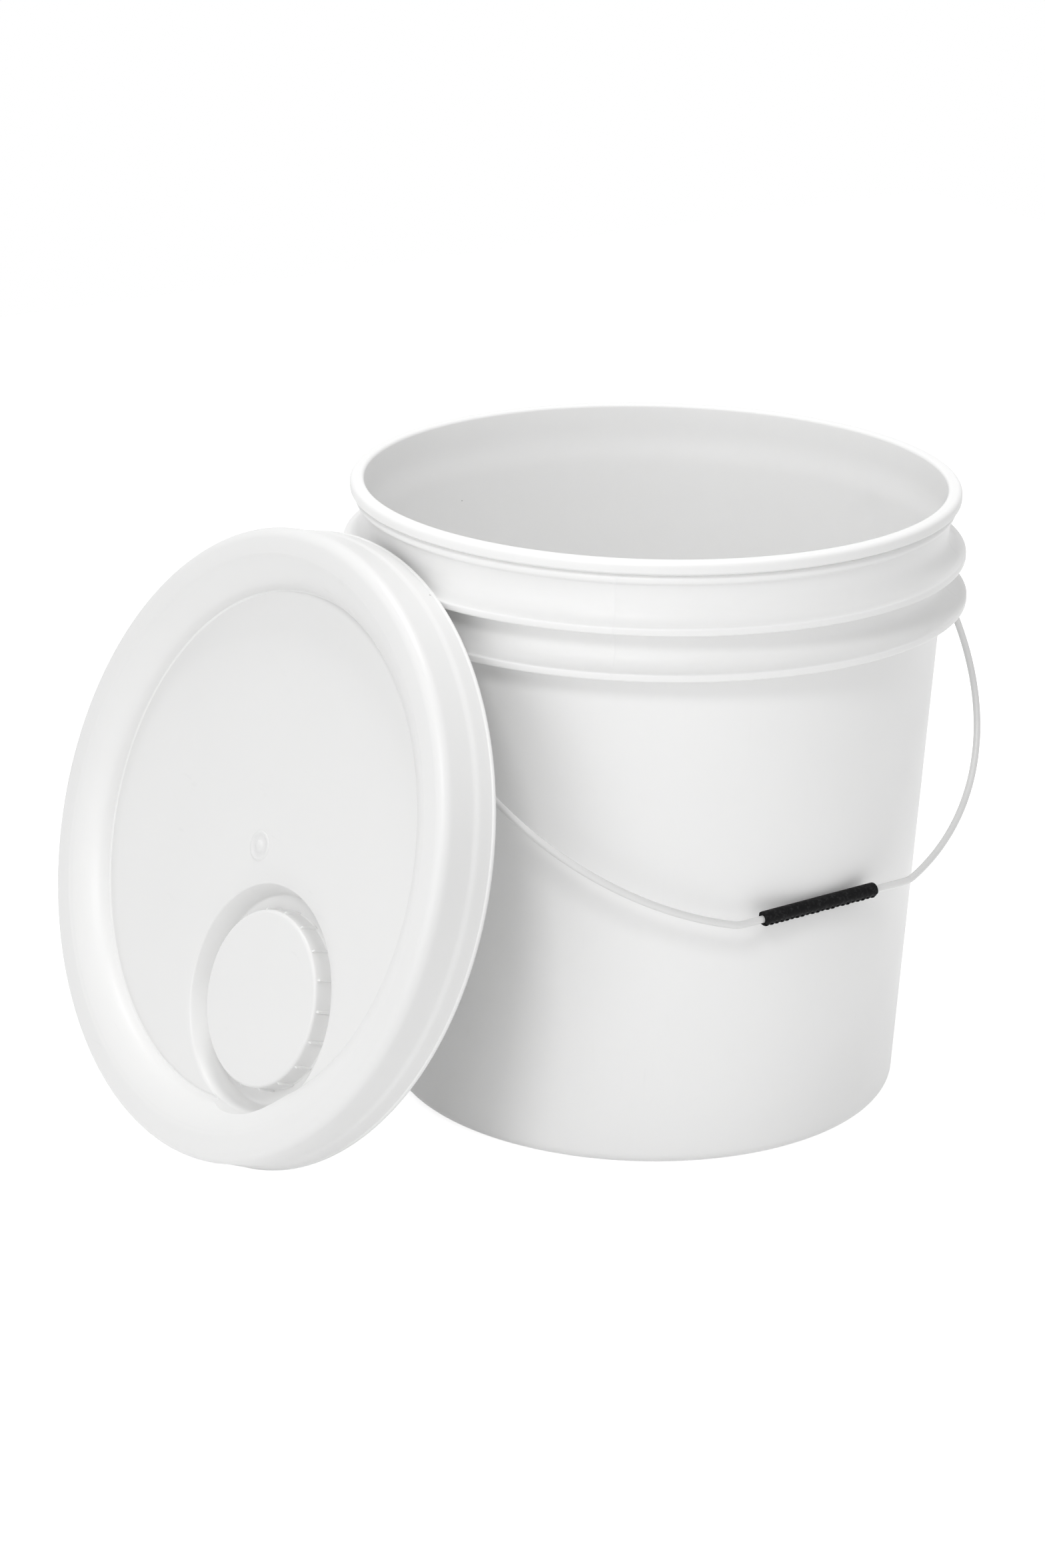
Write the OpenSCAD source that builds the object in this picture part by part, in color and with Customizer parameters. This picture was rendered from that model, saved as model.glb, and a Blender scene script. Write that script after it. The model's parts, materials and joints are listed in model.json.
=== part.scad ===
// Fermenting bucket with a wire bail, a slip-on grip and a snap-on lid that leans on the bucket.
// Millimetres, +Z up. The origin is the centre of the bucket's foot, on the floor,
// and the ears that carry the bail lie on the X axis.

/* [Bucket] */
// Outside diameter of the rolled lip
lip_d = 234; // [190:1:290]
// Height from the floor to the top of the lip
bucket_h = 243; // [200:1:300]
// Outside diameter of the tapered wall where it meets the floor
base_d = 200.6; // [165:0.2:204]
// Thickness of the wall
wall_t = 2; // [1.4:0.1:3]
// Height of the lip bead
lip_h = 4.8; // [3.5:0.1:6]
// How far the lip bead stands out from the wall
lip_proud = 3.4; // [2.4:0.1:5]
// Drop from the lip's top to the lower edge of the upper skirt rib
upper_rib_drop = 26.9; // [24:0.1:34]
// Drop from the lip's top to the lower edge of the lower skirt rib
lower_rib_drop = 43.8; // [40:0.1:60]
// How far the skirt ribs stand out from the wall
rib_proud = 8.4; // [6:0.1:11]
// Height of the fillet that flares each rib out of the wall
rib_flare = 10.5; // [8:0.1:12]
// Radius at the foot, where the wall turns under
foot_r = 5; // [3:0.5:8]
// Height of the bucket's floor panel above the ground
floor_lift = 3; // [2:0.1:5]

/* [Bail] */
// Diameter of the coated bail wire
wire_d = 2.8; // [2.4:0.1:3.6]
// Width of each moulded ear
ear_w = 24; // [18:1:32]
// Distance from the ear axis to the straight run that the grip turns on
bail_drop = 152.5; // [127:0.5:184]
// Length of the straight run that carries the grip
run_l = 77.9; // [60:0.1:94]
// Inside bend radius where the straight run meets the arc
shoulder_bend = 15; // [8:1:20]
// Length of the grip
grip_l = 54; // [40:1:65]
// Outside diameter of the grip over its ridges
grip_d = 5.8; // [5:0.1:8]
// How far the grip sits along the wire from the middle
grip_shift = -3.3; // [-5:0.1:5]

/* [Lid] */
// Depth of the lid, from its crown to the open edge of its skirt
lid_depth = 24; // [20:0.5:29]
// Thickness of the lid's shell
lid_t = 1.9; // [1.4:0.1:2.5]
// Depth of the middle panel below the crown
panel_depth = 11; // [8:0.5:12]
// Width of the flank that slopes from the crown down to the middle panel
crown_flank = 11.2; // [9:0.1:16]
// Diameter of the round well in the panel
well_d = 85.5; // [66:0.5:88]
// Width of the trough between the well's rim and the closed spout boss that stands in it
trough_w = 9.45; // [6.8:0.05:11]
// Depth of the well below the panel
well_depth = 9; // [7:0.5:10]
// How far the well's rim cuts into the crown's flank
well_overrun = 3.75; // [0:0.05:4.5]
// Direction of the well, counted from the level line across the lid
well_turn = -66.7; // [-180:0.1:180]
// Number of small ribs on the boss
boss_ribs = 18; // [6:1:36]
// Thickness of the gasket in the lid's channel
gasket_t = 2.2; // [1.5:0.1:3]

/* [Lean] */
// Compass direction of the lid's face, counted from +X
lid_turn = -178.5; // [-180:0.1:180]
// How far the lid stands to the side of the line through the bucket's axis
lid_side = -28.5; // [-40:0.5:40]
// Smallest lean of the lid from upright
least_lean = 12; // [8:1:20]
// Gap left where the lid and the grip touch the bucket
touch_gap = 0.3; // [0.1:0.1:0.5]

/* [Hidden] */
$fn = 96;

// Bucket, derived.
lip_r = lip_d / 2;
base_r = base_d / 2;
wall_top_r = lip_r - lip_proud;
taper = (wall_top_r - base_r) / bucket_h;
upper_rib_z = bucket_h - upper_rib_drop;
lower_rib_z = bucket_h - lower_rib_drop;
upper_rib_r = wall_r(upper_rib_z) + rib_proud - 1;
lower_rib_r = wall_r(lower_rib_z) + rib_proud + 1;
rib_edge_t = 3;
rib_nose = 0.8;
snap_bead_r = 1.75;
snap_bead_z = bucket_h - lip_h - 1 - snap_bead_r;
snap_proud = 1.9;
lip_nose = 2;
mouth_land = 9;
floor_t = 2.2;
inner_fillet = 6;
foot_width = 5;
arc_steps = 6;

// Ears and bail, derived.
wire_r = wire_d / 2;
ear_z = lower_rib_z + 10.6;
ear_low = lower_rib_z + rib_edge_t - 0.6;
ear_high = upper_rib_z + 1;
ear_face = upper_rib_r + 0.3;
ear_root = wall_r(ear_z) - 0.7;
ear_bore_clear = 0.05;
ear_bore_end = ear_root + 2.4;
pin_end_gap = 0.8;
ear_bend = 3;
pin_stop = ear_face + 0.6;
collar_l = 0.6;
collar_proud = 0.02;
run_half = run_l / 2;
// The large arc is tangent to the bend at the ear and to the shoulder bend. Its centre lies
// arc_below under the ear bend's centre, where
// sqrt(pin_stop^2 + arc_below^2) - bend_step = sqrt(run_half^2 + (bend_drop - arc_below)^2).
bend_step = shoulder_bend - ear_bend;
bend_drop = bail_drop - shoulder_bend - ear_bend;
bend_rest = pow(pin_stop, 2) + pow(bend_step, 2) - pow(run_half, 2) - pow(bend_drop, 2);
bend_lead = pow(bend_drop, 2) - pow(bend_step, 2);
arc_below = (sqrt(pow(bend_rest * bend_drop, 2)
                  - bend_lead * (pow(bend_rest, 2) - pow(2 * bend_step * pin_stop, 2)))
             - bend_rest * bend_drop) / (2 * bend_lead);
bail_centre = ear_bend + arc_below;
bail_arc = ear_bend + sqrt(pow(pin_stop, 2) + pow(arc_below, 2));
grip_clear = 0.08;
grip_ridge = 0.45;
grip_pitch = 2.25;
grip_slit = 0.7;
// The bail hangs where the grip meets the tapered wall.
taper_slope = sqrt(1 + taper * taper);
bail_hang = asin((base_r + taper * ear_z + (grip_d / 2 + touch_gap) * taper_slope)
                 / (bail_drop * taper_slope)) - atan(taper);

// Lid, derived. In the lid's own frame the crown is at z = 0 and the open edge is below.
lid_clear = 0.4;
skirt_in = lip_r + lid_clear;
skirt_out = skirt_in + lid_t;
band_step = 0.8;
band_top = 14.5;
edge_bead = 0.7;
skirt_r = skirt_out + band_step + edge_bead;
rim_in = skirt_in + 0.9;
crown_round = 4.5;
crown_land_r = lip_r - 9.3;
plug_out = wall_top_r - wall_t - 0.7;
plug_t = 1.8;
plug_depth = 12.5;
snap_ridge_z = lid_t + gasket_t + (bucket_h - snap_bead_z) + snap_bead_r + 0.4;
snap_ridge = 2.4;
panel_r = crown_land_r - crown_flank;
well_r = well_d / 2;
boss_r = well_r - trough_w;
well_offset = panel_r - well_r + well_overrun;
well_draft = 3;
boss_sink = 0.3;
boss_round = 1.4;
gate_ring_r = 5.6;
gate_nub_r = 2.2;
wire_pass = 2.5;
gasket_in = plug_out + 0.6;
gasket_out = skirt_in - 0.6;

// The lid leans on the bucket with the top of its open edge. What it meets first is either the
// wall there, such as the neck under the lip, or, off to one side, the edge of a rib that it reaches.
neck_z = snap_bead_z - snap_bead_r - 3.8;
reach = 2 * skirt_r * cos(least_lean);
lean_top = neck_z <= reach ? neck_z : min(reach, lower_rib_z - 8);
lean = acos(lean_top / (2 * skirt_r));
side_bend = (sin(lean) / skirt_r) / wall_r(lean_top)
            / (sin(lean) / skirt_r + 1 / wall_r(lean_top));
neck_touch = wall_r(lean_top) - side_bend * pow(lid_side, 2) / 2;
lean_touch = touch_gap + max(concat(
    [neck_touch,
     rib_touch(upper_rib_z + rib_edge_t, upper_rib_r - rib_nose / 2),
     rib_touch(lower_rib_z + rib_edge_t, lower_rib_r - rib_nose / 2)],
    [for (d = [ear_bend:2:bail_drop - shoulder_bend]) wire_touch(d)]));
lid_out = lean_touch + lid_depth * cos(lean) + skirt_r * sin(lean);
lid_up = lid_depth * sin(lean) + skirt_r * cos(lean);

// Radius of the bucket's outer wall at height z.
function wall_r(z) = base_r + taper * z;

// Where the lid's open edge stands, at the height of its top, when it meets a rib's edge of
// height z and radius r. A rib that the lid doesn't reach gives 0.
function rib_touch(z, r) =
    let (chord = pow(rim_in, 2) - pow(z / cos(lean) - skirt_r, 2))
    chord <= 0 ? 0 :
        let (across = max(0, sqrt(chord) - abs(lid_side)))
        across >= r ? 0 : sqrt(pow(r, 2) - pow(across, 2)) - (lean_top - z) * tan(lean);

// Where the lid's open edge stands, at the height of its top, when its skirt or its plug meets the
// bail's wire at a distance d down the bail. Wire that passes the ring by gives 0.
function wire_touch(d) =
    let (x = sqrt(pow(bail_arc, 2) - pow(d - bail_centre, 2)) + wire_r,
         z = ear_z - d * cos(bail_hang),
         from_axis = norm([d * sin(bail_hang) - lid_side, z / cos(lean) - skirt_r]),
         room = wire_r + wire_pass)
    from_axis > skirt_r + room || from_axis < plug_out - plug_t - room ? 0
        : x - (lean_top - z) * tan(lean);

// Points on an arc about c with radius r, from angle a to angle b.
function arc(c, r, a, b, n = arc_steps) =
    [for (i = [0:n]) c + r * [cos(a + (b - a) * i / n), sin(a + (b - a) * i / n)]];

// Outline of one skirt rib whose lower edge is at height z and whose nose is at radius r.
function rib_outline(z, r) = concat(
    [[wall_r(z), z + 2.8], [r - 3.4, z + 1.8], [r - 2.8, z]],
    arc([r - rib_nose, z + rib_nose], rib_nose, -90, 0, 3),
    arc([r - rib_nose, z + rib_edge_t - rib_nose], rib_nose, 0, 60, 3),
    rib_flare_curve(z, r));

// The flare is a quarter ellipse that is tangent to the wall at its top.
function rib_flare_curve(z, r) =
    let (low = z + rib_edge_t - 0.2, high = z + rib_flare, out = r - 0.9, root = wall_r(high))
    [for (i = [0:8]) let (a = 80 - 80 * i / 8)
        [out - (out - root) * cos(a), high - (high - low) * sin(a)]];

module bucket_shell() {
    inner_top = wall_top_r - wall_t;
    inner_foot = wall_r(floor_lift + floor_t) - wall_t;
    inner_floor = floor_lift + floor_t;
    outline = concat(
        [[0, floor_lift], [base_r - foot_r - foot_width - 3, floor_lift],
         [base_r - foot_r - foot_width, 0]],
        arc([wall_r(foot_r) - foot_r, foot_r], foot_r, -90, 0),
        rib_outline(lower_rib_z, lower_rib_r),
        rib_outline(upper_rib_z, upper_rib_r),
        [[wall_r(snap_bead_z) + 0.1, snap_bead_z - snap_bead_r]],
        arc([wall_r(snap_bead_z) + snap_proud - snap_bead_r, snap_bead_z], snap_bead_r, -70, 70),
        [[wall_top_r + 0.9, bucket_h - lip_h - 0.6], [wall_top_r + 0.9, bucket_h - lip_h]],
        arc([lip_r - 1, bucket_h - lip_h + 1], 1, -90, 0, 3),
        arc([lip_r - lip_nose, bucket_h - lip_nose], lip_nose, 0, 90),
        arc([inner_top + 1.4, bucket_h - 1.4], 1.4, 90, 180),
        [[inner_top, bucket_h - mouth_land], [inner_top - 0.7, bucket_h - mouth_land - 0.7]],
        arc([inner_foot - inner_fillet + taper * inner_fillet, inner_floor + inner_fillet],
            inner_fillet, 0, -90),
        [[0, inner_floor]]);
    rotate_extrude() polygon(outline);
}

// Solid block between the ribs, with a blind bore for the wire's end.
module ear_block() {
    translate([ear_root, -ear_w / 2, ear_low])
        cube([ear_face - ear_root, ear_w, ear_high - ear_low]);
}

module ear_bore() {
    translate([ear_bore_end, 0, ear_z]) rotate([0, 90, 0])
        cylinder(r = wire_r + ear_bore_clear, h = lip_d);
}

module bucket() {
    color("whitesmoke") difference() {
        union() {
            bucket_shell();
            for (turn = [0, 180]) rotate([0, 0, turn]) ear_block();
        }
        for (turn = [0, 180]) rotate([0, 0, turn]) ear_bore();
    }
}

// Puts the bail's own plane in place: x runs along the ears' axis and y runs down the bail.
module in_bail_plane() {
    translate([0, 0, ear_z]) rotate([270 - bail_hang, 0, 0]) children();
}

// Part of a ring of wire about the point c, from angle a to angle b.
module wire_arc(c, r, a, b) {
    translate([c[0], c[1], 0]) rotate([0, 0, a])
        rotate_extrude(angle = b - a) translate([r, 0]) circle(r = wire_r, $fn = 32);
}

module wire_run(from, to) {
    translate([from, 0, 0]) rotate([0, 90, 0]) cylinder(r = wire_r, h = to - from, $fn = 32);
}

// A short collar, a hair thicker than the wire, where two stretches meet on an arc about c.
module wire_collar(c, r, a) {
    translate([c[0], c[1], 0]) rotate([0, 0, a]) translate([r, -collar_l / 2, 0])
        rotate([-90, 0, 0]) cylinder(r = wire_r + collar_proud, h = collar_l, $fn = 32);
}

module bail_side() {
    ear_angle = atan2(ear_bend - bail_centre, pin_stop);
    run_angle = atan2(bail_drop - shoulder_bend - bail_centre, run_half);
    shoulder_at = [run_half, bail_drop - shoulder_bend];
    ear_bend_at = [pin_stop, ear_bend];
    wire_collar(shoulder_at, shoulder_bend, 90);
    wire_arc(shoulder_at, shoulder_bend, run_angle, 90);
    wire_collar(shoulder_at, shoulder_bend, run_angle);
    wire_arc([0, bail_centre], bail_arc, ear_angle, run_angle);
    wire_collar(ear_bend_at, ear_bend, ear_angle);
    wire_arc(ear_bend_at, ear_bend, -90, ear_angle);
    wire_collar(ear_bend_at, ear_bend, -90);
    wire_run(ear_bore_end + pin_end_gap, pin_stop);
}

module bail_wire() {
    color("white") in_bail_plane() union() {
        translate([0, bail_drop, 0]) wire_run(-run_half, run_half);
        bail_side();
        mirror([1, 0, 0]) bail_side();
    }
}

// Split sleeve: smooth along its back, with ridges round the rest of it.
module grip_sleeve() {
    ridge_count = floor((grip_l - 3) / grip_pitch);
    difference() {
        union() {
            cylinder(r = grip_d / 2 - grip_ridge, h = grip_l);
            for (i = [0:ridge_count - 1])
                translate([0, 0, (grip_l - (ridge_count - 0.5) * grip_pitch) / 2 + i * grip_pitch])
                    cylinder(r = grip_d / 2, h = grip_pitch / 2);
        }
        translate([0, 0, -1]) cylinder(r = wire_r + grip_clear, h = grip_l + 2);
        translate([0, -grip_slit / 2, -1]) cube([grip_d, grip_slit, grip_l + 2]);
    }
}

module bail_grip() {
    color("black") in_bail_plane() translate([grip_shift - grip_l / 2, bail_drop, 0])
        rotate([0, 90, 0]) rotate([0, 0, 200]) grip_sleeve();
}

// Puts the lid's own frame in place: z runs out of its face and x is level.
module in_lid_frame() {
    rotate([0, 0, lid_turn + 90]) translate([lid_side, -lid_out, lid_up])
        rotate([90 - lean, 0, 0]) children();
}

module lid_crown() {
    flank_slope = panel_depth / (crown_land_r - panel_r);
    outline = concat(
        [[0, -panel_depth]],
        [[panel_r - 1.5, -panel_depth], [panel_r + 0.6, -panel_depth + 0.9]],
        [[crown_land_r - 2.4, -2.4 * flank_slope + 0.2], [crown_land_r - 1, -0.5], [crown_land_r + 0.8, 0]],
        arc([skirt_out - crown_round, -crown_round], crown_round, 90, 0),
        [[skirt_out + 0.2, -band_top], [skirt_out + band_step, -band_top - 0.6],
         [skirt_out + band_step + 0.2, 1.6 - lid_depth]],
        [[skirt_r, 1.1 - lid_depth], [skirt_r, 0.4 - lid_depth], [skirt_r - 0.4, -lid_depth]],
        [[rim_in, -lid_depth], [skirt_in + 0.3, 1 - lid_depth]],
        [[skirt_in, -snap_ridge_z - 3.2], [skirt_in - snap_ridge, -snap_ridge_z - 1.1],
         [skirt_in - snap_ridge, -snap_ridge_z - 0.4], [skirt_in, -snap_ridge_z]],
        [[skirt_in, -lid_t], [plug_out, -lid_t]],
        [[plug_out, -plug_depth + 1.5], [plug_out - 0.6, -plug_depth],
         [plug_out - plug_t, -plug_depth]],
        [[plug_out - plug_t, -lid_t - 0.4], [crown_land_r + 0.5, -lid_t - 0.4]],
        [[panel_r + 0.9, -panel_depth - lid_t + 0.4], [panel_r - 0.6, -panel_depth - lid_t]],
        [[0, -panel_depth - lid_t]]);
    rotate_extrude() polygon(outline);
}

module at_well() {
    translate([well_offset * cos(well_turn), well_offset * sin(well_turn), 0]) children();
}

// Outside of the well, added under the panel.
module well_shell() {
    floor_z = panel_depth + well_depth + lid_t;
    translate([0, 0, -floor_z])
        cylinder(r1 = well_r - well_draft + lid_t, r2 = well_r + lid_t, h = floor_z - panel_depth - 0.5);
}

// The ring-shaped trough between the well's wall and the boss, open at the top.
module well_trough() {
    deep = panel_depth + well_depth;
    top_z = boss_sink + panel_depth;
    over = -1;
    rotate_extrude() polygon(concat(
        [[boss_r + 0.9, -deep], [well_r - well_draft - 1.2, -deep], [well_r - well_draft, 1.2 - deep]],
        [[well_r, -panel_depth - 0.8], [well_r + 0.9, -panel_depth], [well_r + 1, -over], [0, -over]],
        [[0, -top_z]],
        arc([boss_r - boss_round, -top_z - boss_round], boss_round, 90, 0, 5)));
}

// The hollow under the boss.
module boss_hollow() {
    translate([0, 0, -panel_depth - well_depth - lid_t - 1])
        cylinder(r = boss_r - lid_t, h = well_depth + 1 - boss_sink);
}

module boss_ring_of_ribs() {
    for (i = [0:boss_ribs - 1]) rotate([0, 0, (i + 0.5) * 360 / boss_ribs])
        translate([boss_r - 0.6, -0.5, -panel_depth - well_depth - 0.4])
            cube([1.5, 1, well_depth - 1.6]);
}

// Low ring and nub left in the middle of the panel by the mould's gate.
module gate_mark() {
    translate([0, 0, -panel_depth - 0.2]) difference() {
        cylinder(r = gate_ring_r, h = 0.45);
        translate([0, 0, 0.1]) cylinder(r = gate_ring_r - 0.8, h = 1);
    }
    translate([0, 0, -panel_depth - 0.2]) cylinder(r = gate_nub_r, h = 0.9);
}

module lid_shell() {
    color("whitesmoke") in_lid_frame() union() {
        difference() {
            union() {
                lid_crown();
                at_well() well_shell();
            }
            at_well() {
                well_trough();
                boss_hollow();
            }
        }
        at_well() boss_ring_of_ribs();
        gate_mark();
    }
}

module lid_gasket() {
    color("gainsboro") in_lid_frame() translate([0, 0, -lid_t - gasket_t]) difference() {
        cylinder(r = gasket_out, h = gasket_t);
        translate([0, 0, -1]) cylinder(r = gasket_in, h = gasket_t + 2);
    }
}

bucket();
bail_wire();
bail_grip();
lid_shell();
lid_gasket();
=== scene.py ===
"""Looks of a plastic fermenting bucket: a moulded pail, its wire bail with a split grip, and a lid.

Every shape is a surface worked out on a grid with numpy. Sizes are in millimetres, and places come
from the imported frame: the joints give the bail's plane and the lid's lean.
"""

from __future__ import annotations

import json
import logging
import math
from dataclasses import dataclass
from enum import Enum

import bpy
import numpy as np
from mathutils import Matrix, Vector

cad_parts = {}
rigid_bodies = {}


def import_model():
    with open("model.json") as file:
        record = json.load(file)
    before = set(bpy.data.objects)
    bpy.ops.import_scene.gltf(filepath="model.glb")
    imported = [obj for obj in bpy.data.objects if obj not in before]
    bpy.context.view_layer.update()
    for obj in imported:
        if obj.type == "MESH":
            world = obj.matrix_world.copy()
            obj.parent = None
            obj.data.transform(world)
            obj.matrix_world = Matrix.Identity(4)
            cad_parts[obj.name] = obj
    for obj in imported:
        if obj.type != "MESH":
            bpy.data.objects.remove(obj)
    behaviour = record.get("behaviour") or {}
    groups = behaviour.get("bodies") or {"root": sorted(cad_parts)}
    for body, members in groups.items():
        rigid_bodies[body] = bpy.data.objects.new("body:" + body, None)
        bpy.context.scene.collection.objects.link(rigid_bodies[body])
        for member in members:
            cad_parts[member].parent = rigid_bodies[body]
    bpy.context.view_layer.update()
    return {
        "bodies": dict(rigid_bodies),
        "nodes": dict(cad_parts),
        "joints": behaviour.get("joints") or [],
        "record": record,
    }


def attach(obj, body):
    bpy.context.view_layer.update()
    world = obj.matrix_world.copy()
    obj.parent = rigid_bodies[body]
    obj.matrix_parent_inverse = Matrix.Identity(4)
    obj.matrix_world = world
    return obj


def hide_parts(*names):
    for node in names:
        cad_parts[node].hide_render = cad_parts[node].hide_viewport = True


LOG = logging.getLogger("bucket")
MM = 0.001
GRAIN_DEPTH = 0.0002  # depth in metres of the moulded grain
Array = np.ndarray
FRAME: dict = {}


class Body(str, Enum):
    """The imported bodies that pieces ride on."""

    BUCKET = "bucket"
    BAIL = "bail"
    GRIP = "grip"
    LID = "lid"


class Slot(str, Enum):
    """The record's material slots."""

    BUCKET = "bucket_plastic"
    LID = "lid_plastic"
    WIRE = "wire_coating"
    GRIP = "grip_rubber"
    GASKET = "gasket_foam"


# ---------------------------------------------------------------- surfaces


def arc(centre: tuple[float, float], radius: float, start: float, end: float, steps: int = 8) -> Array:
    """Points on a circle: centre plus radius times (cos, sin) of an even run of angles.

    Args:
        centre: Middle of the arc.
        radius: Radius of the arc.
        start: First angle in degrees.
        end: Last angle in degrees.
        steps: Number of spans.

    Returns:
        Array of steps + 1 points.
    """
    turn = np.radians(np.linspace(start, end, steps + 1))
    return np.column_stack([centre[0] + radius * np.cos(turn), centre[1] + radius * np.sin(turn)])


def line(start: tuple[float, float], end: tuple[float, float], steps: int) -> Array:
    """Points on a straight stretch: start times (1 - t) plus end times t, for t from 0 to 1.

    Args:
        start: First point.
        end: Last point.
        steps: Number of spans.

    Returns:
        Array of steps + 1 points.
    """
    share = np.linspace(0.0, 1.0, steps + 1)[:, None]
    return (1 - share) * np.array(start) + share * np.array(end)


def outline(*stretches: Array) -> Array:
    """Joins stretches of points into one outline without repeated points.

    Args:
        stretches: Arrays of (radius, height) points, in order.

    Returns:
        One array of points.
    """
    points = np.vstack([np.atleast_2d(np.array(s, float)) for s in stretches])
    step = np.linalg.norm(np.diff(points, axis=0), axis=1)
    return points[np.concatenate([[True], step > 1e-6])]


def smooth(share: Array) -> Array:
    """The smooth step 3t^2 - 2t^3 of a share clipped to 0..1."""
    t = np.clip(share, 0.0, 1.0)
    return t * t * (3 - 2 * t)


def bell(distance: Array, width: float) -> Array:
    """A bell curve: e to the power of minus (distance / width) squared."""
    return np.exp(-((distance / width) ** 2))


def turn_to(angles: Array, marks: Array) -> Array:
    """Smallest turn from each angle a to any mark m: the least |(a - m + pi) mod 2 pi - pi|."""
    return np.abs((angles[None, :] - marks[:, None] + np.pi) % (2 * np.pi) - np.pi).min(axis=0)


def columns(count: int, fine_at: Array, fine_offsets: Array) -> Array:
    """Angles round a circle, evenly spaced, with a finer cluster about each given angle.

    Args:
        count: Number of evenly spaced angles.
        fine_at: Angles in radians that get a cluster.
        fine_offsets: Offsets of a cluster's angles from its middle.

    Returns:
        Sorted angles from 0 up to a full turn.
    """
    even = np.arange(count) * (2 * np.pi / count)
    fine = (fine_at[:, None] + fine_offsets[None, :]).ravel() % (2 * np.pi)
    angles = np.unique(np.round(np.concatenate([even, fine]), 6))
    near = turn_to(angles, fine)
    least_gap = 0.3 * 2 * np.pi / count
    return angles[(near < 1e-5) | (near > least_gap)]


def skin(name: str, grid: Array, start_pole: bool, end_pole: bool,
         close_rows: bool = False) -> bpy.types.Object:
    """Makes a closed mesh from a grid of rings, each ring a closed loop of points.

    Quads join each ring to the next. A pole is a ring shrunk to its mean point and joined by a fan.

    Args:
        name: Name of the piece.
        grid: Points in metres, shaped (rings, points in a ring, 3).
        start_pole: True if the first ring is one point.
        end_pole: True if the last ring is one point.
        close_rows: True if the last ring joins the first.

    Returns:
        The object, at the origin.
    """
    rings, around, _ = grid.shape
    index = np.arange(rings * around).reshape(rings, around)
    points = grid.reshape(-1, 3).copy()
    if start_pole:
        points[index[0]] = grid[0].mean(axis=0)
        index[0] = index[0, 0]
    if end_pole:
        points[index[-1]] = grid[-1].mean(axis=0)
        index[-1] = index[-1, 0]
    if close_rows:
        index = np.vstack([index, index[:1]])
    a, b = index[:-1], index[1:]
    quads = np.stack([a, np.roll(a, -1, 1), np.roll(b, -1, 1), b], axis=-1).reshape(-1, 4)
    return mesh_of(name, points, quads)


def mesh_of(name: str, points: Array, quads: Array) -> bpy.types.Object:
    """Puts points and quads into a mesh, dropping unused points and repeated corners.

    Args:
        name: Name of the piece.
        points: Points in metres.
        quads: Four corner numbers a row; a triangle repeats one of them.

    Returns:
        The linked, smooth-shaded object.
    """
    used, flat = np.unique(quads, return_inverse=True)
    quads = flat.reshape(quads.shape)
    keep = quads != np.roll(quads, 1, axis=1)
    sizes = keep.sum(axis=1)
    solid = sizes >= 3
    keep, sizes, quads = keep[solid], sizes[solid], quads[solid]
    loops = quads[keep]
    mesh = bpy.data.meshes.new(name)
    mesh.vertices.add(len(used))
    mesh.vertices.foreach_set("co", points[used].astype(np.float32).ravel())
    mesh.loops.add(len(loops))
    mesh.loops.foreach_set("vertex_index", loops.astype(np.int32))
    mesh.polygons.add(len(sizes))
    starts = np.concatenate([[0], np.cumsum(sizes)[:-1]])
    mesh.polygons.foreach_set("loop_start", starts.astype(np.int32))
    mesh.polygons.foreach_set("loop_total", sizes.astype(np.int32))
    mesh.polygons.foreach_set("use_smooth", np.ones(len(sizes), bool))
    mesh.update(calc_edges=True)
    mesh.validate()
    piece = bpy.data.objects.new(name, mesh)
    bpy.context.scene.collection.objects.link(piece)
    return piece


def crease(piece: bpy.types.Object, angle: float = 38.0) -> None:
    """Keeps shading crisp across edges sharper than the angle, in degrees."""
    piece.data.set_sharp_from_angle(angle=math.radians(angle))


def lathe(profile: Array, angles: Array) -> Array:
    """Turns an outline about the vertical axis: (r cos a, r sin a, z) for each point and angle.

    Args:
        profile: Outline of (radius, height) points.
        angles: Angles of the columns.

    Returns:
        Grid of points shaped (outline points, angles, 3).
    """
    r, z = profile[:, :1], profile[:, 1:]
    return np.stack([r * np.cos(angles), r * np.sin(angles), z + 0 * angles], axis=-1)


@dataclass(frozen=True)
class Place:
    """A frame of axes: a point is origin plus x, y and z times the three directions."""

    origin: Array
    x: Array
    y: Array
    z: Array

    def put(self, grid: Array) -> Array:
        """Moves a grid in millimetres into place, in metres."""
        turned = grid[..., :1] * self.x + grid[..., 1:2] * self.y + grid[..., 2:] * self.z
        return turned * MM + self.origin


def unit(vector: Array) -> Array:
    """The vector divided by its length."""
    return vector / np.linalg.norm(vector)


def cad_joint(name: str) -> tuple[Array, Array]:
    """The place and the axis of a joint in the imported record.

    Args:
        name: Name of the joint.

    Returns:
        Its position in metres and its unit axis.
    """
    joint = next(j for j in FRAME["joints"] if j["name"] == name)
    return np.array(joint["pos_m"]), unit(np.array(joint["axis"], float))


# ---------------------------------------------------------------- finishes


@dataclass(frozen=True)
class Socket:
    """One named input or output of a node group."""

    name: str
    kind: str
    start: float | tuple[float, ...] | None = None


def new_group(name: str, inputs: list[Socket], outputs: list[Socket]
              ) -> tuple[bpy.types.NodeTree, bpy.types.Node, bpy.types.Node]:
    """Makes an empty shader node group.

    Args:
        name: Name of the group.
        inputs: Its input sockets.
        outputs: Its output sockets.

    Returns:
        The tree, its input node and its output node.
    """
    tree = bpy.data.node_groups.new(name, "ShaderNodeTree")
    for sockets, way in ((inputs, "INPUT"), (outputs, "OUTPUT")):
        for socket in sockets:
            made = tree.interface.new_socket(name=socket.name, in_out=way, socket_type=socket.kind)
            if socket.start is not None:
                made.default_value = socket.start
    return tree, tree.nodes.new("NodeGroupInput"), tree.nodes.new("NodeGroupOutput")


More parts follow.
